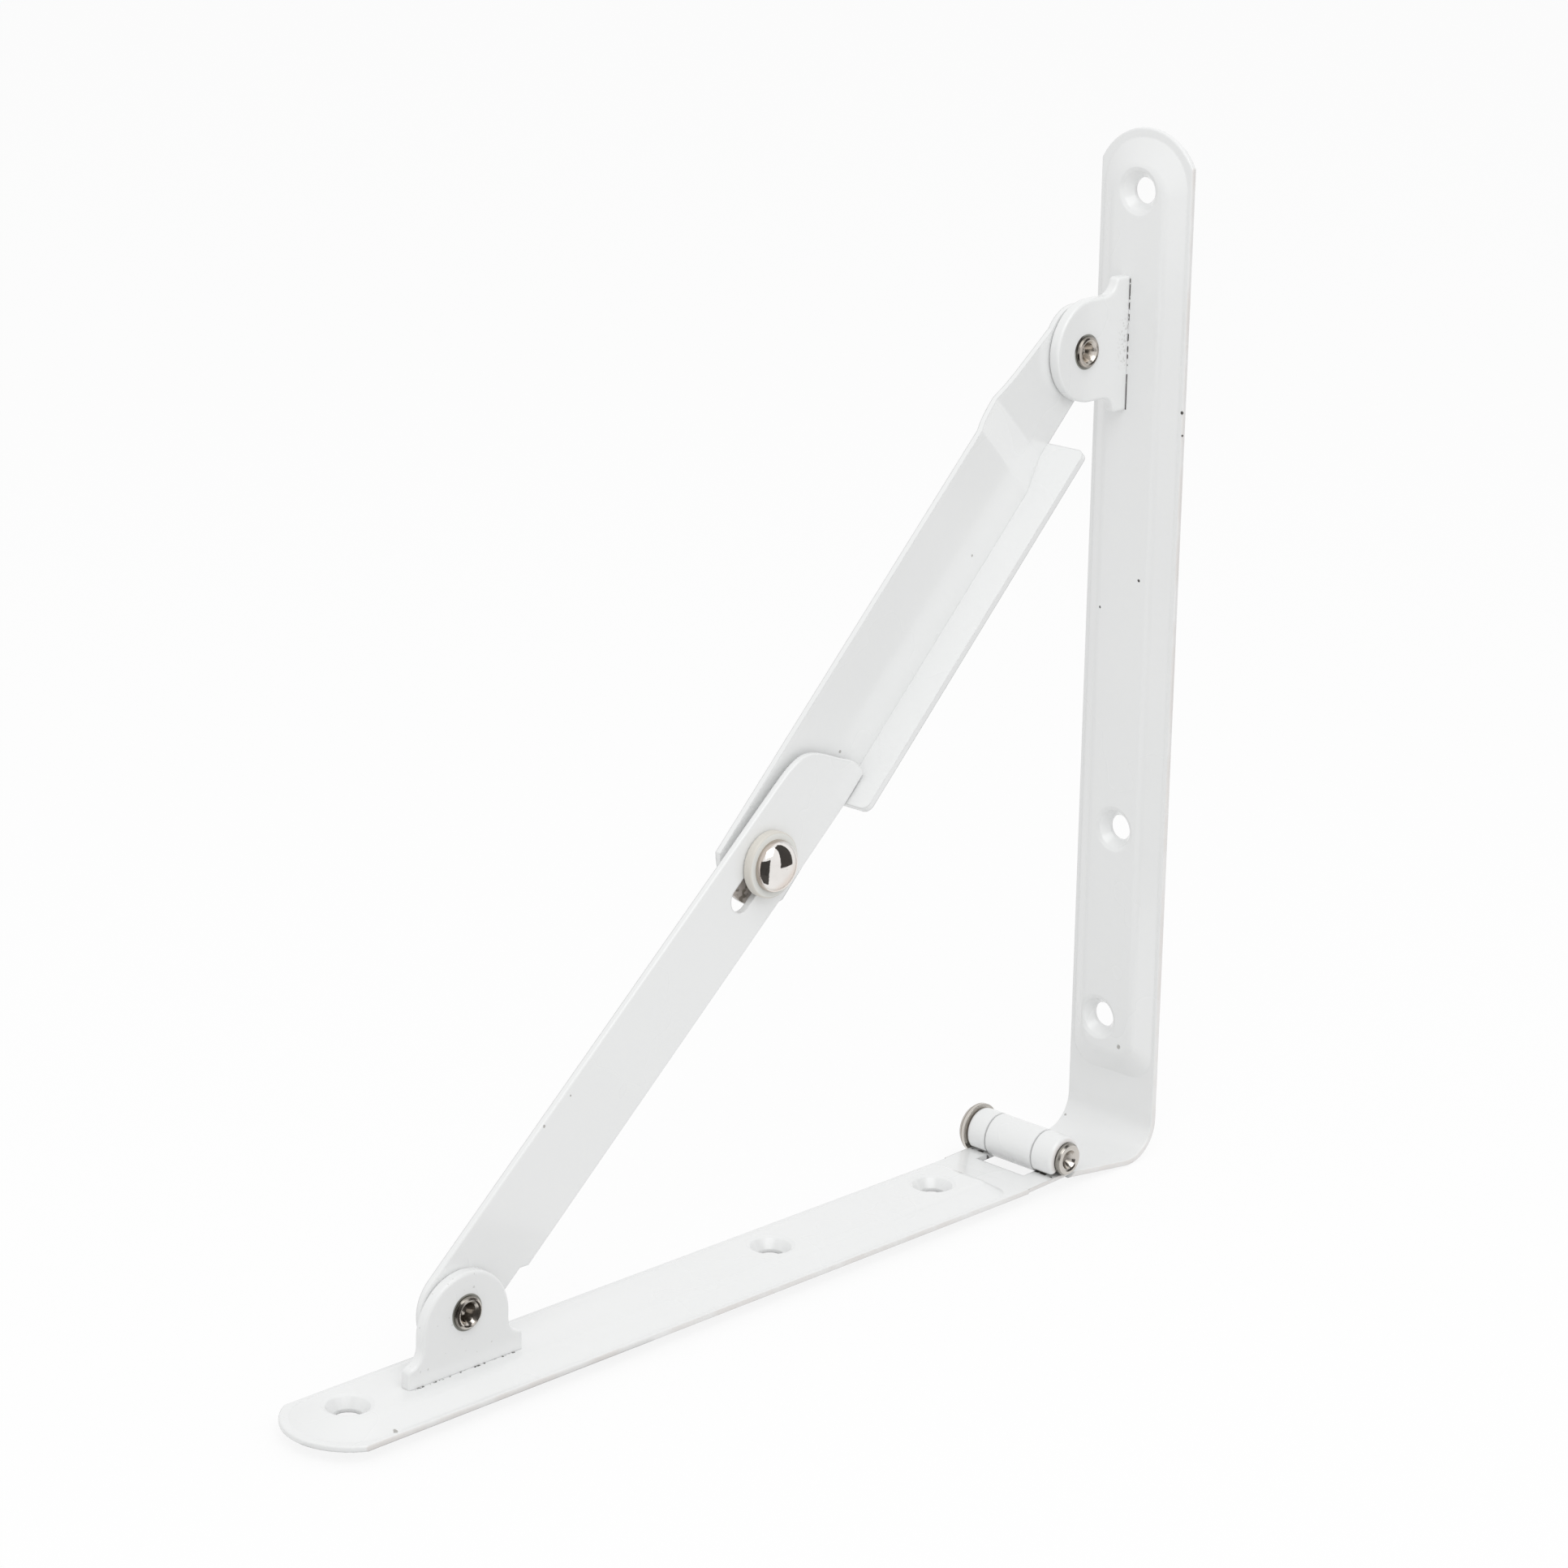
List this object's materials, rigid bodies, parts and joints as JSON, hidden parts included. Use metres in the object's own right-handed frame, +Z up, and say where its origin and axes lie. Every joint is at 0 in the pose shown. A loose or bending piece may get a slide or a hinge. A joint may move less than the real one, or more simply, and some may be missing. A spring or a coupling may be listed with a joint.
{
  "type": "folding shelf bracket",
  "caption": "Folding shelf bracket: two crowned steel arms on a pinned hinge, propped open by a two-part jointed strut with a slotted knee.",
  "frame": {"origin": "centre of the shelf arm's screw hole nearest the hinge, halfway down its straight wall", "axes": "+Z up out of the shelf arm's crowned face, +X along the shelf arm toward the hinge and the wall arm, +Y across the width, toward the plain head of the hinge pin"},
  "size_m": [0.2028, 0.0248, 0.1951],
  "materials": {
    "white_coat": "glossy white powder coat on pressed steel sheet",
    "nickel": "nickel-plated steel",
    "bright_chrome": "polished chrome-plated steel",
    "zinc": "dull zinc-plated steel",
    "nylon": "off-white nylon"
  },
  "bodies": {
    "shelf_side": {"shelf_arm": "white_coat", "hinge_pin": "nickel", "lower_lug": "white_coat", "lower_lug_rivet": "nickel"},
    "wall_side": {"wall_arm": "white_coat", "upper_lug": "white_coat", "upper_lug_rivet": "nickel"},
    "lower_strut_body": {"lower_strut": "white_coat"},
    "knee_pin_body": {"knee_pin": "bright_chrome", "knee_washer": "nylon"},
    "upper_strut_body": {"upper_strut": "white_coat", "knee_pin_tail": "bright_chrome", "knee_spacer": "zinc"}
  },
  "joints": [
    {"name": "arm_fold", "type": "hinge", "parent": "shelf_side", "child": "wall_side", "pos_m": [0.0252, 0, 0.00355], "axis": [0, -1, 0], "range_deg": [0, 48]},
    {"name": "lower_strut_pivot", "type": "hinge", "parent": "shelf_side", "child": "lower_strut_body", "pos_m": [-0.11725, 0, 0.0125], "axis": [0, -1, 0], "range_deg": [0, 97.19]},
    {"name": "upper_strut_pivot", "type": "hinge", "parent": "wall_side", "child": "upper_strut_body", "pos_m": [0.03413, 0, 0.15291], "axis": [0, -1, 0], "range_deg": [-73.73, 0]},
    {"name": "knee_slide", "type": "slide", "parent": "lower_strut_body", "child": "knee_pin_body", "axis": [-0.7502, 0, -0.6613], "range_m": [0, 0.008]}
  ],
  "couplings": [
    {"joint": "lower_strut_pivot", "follows": "arm_fold", "ratio": 2.0227},
    {"joint": "upper_strut_pivot", "follows": "arm_fold", "ratio": -1.534}
  ]
}
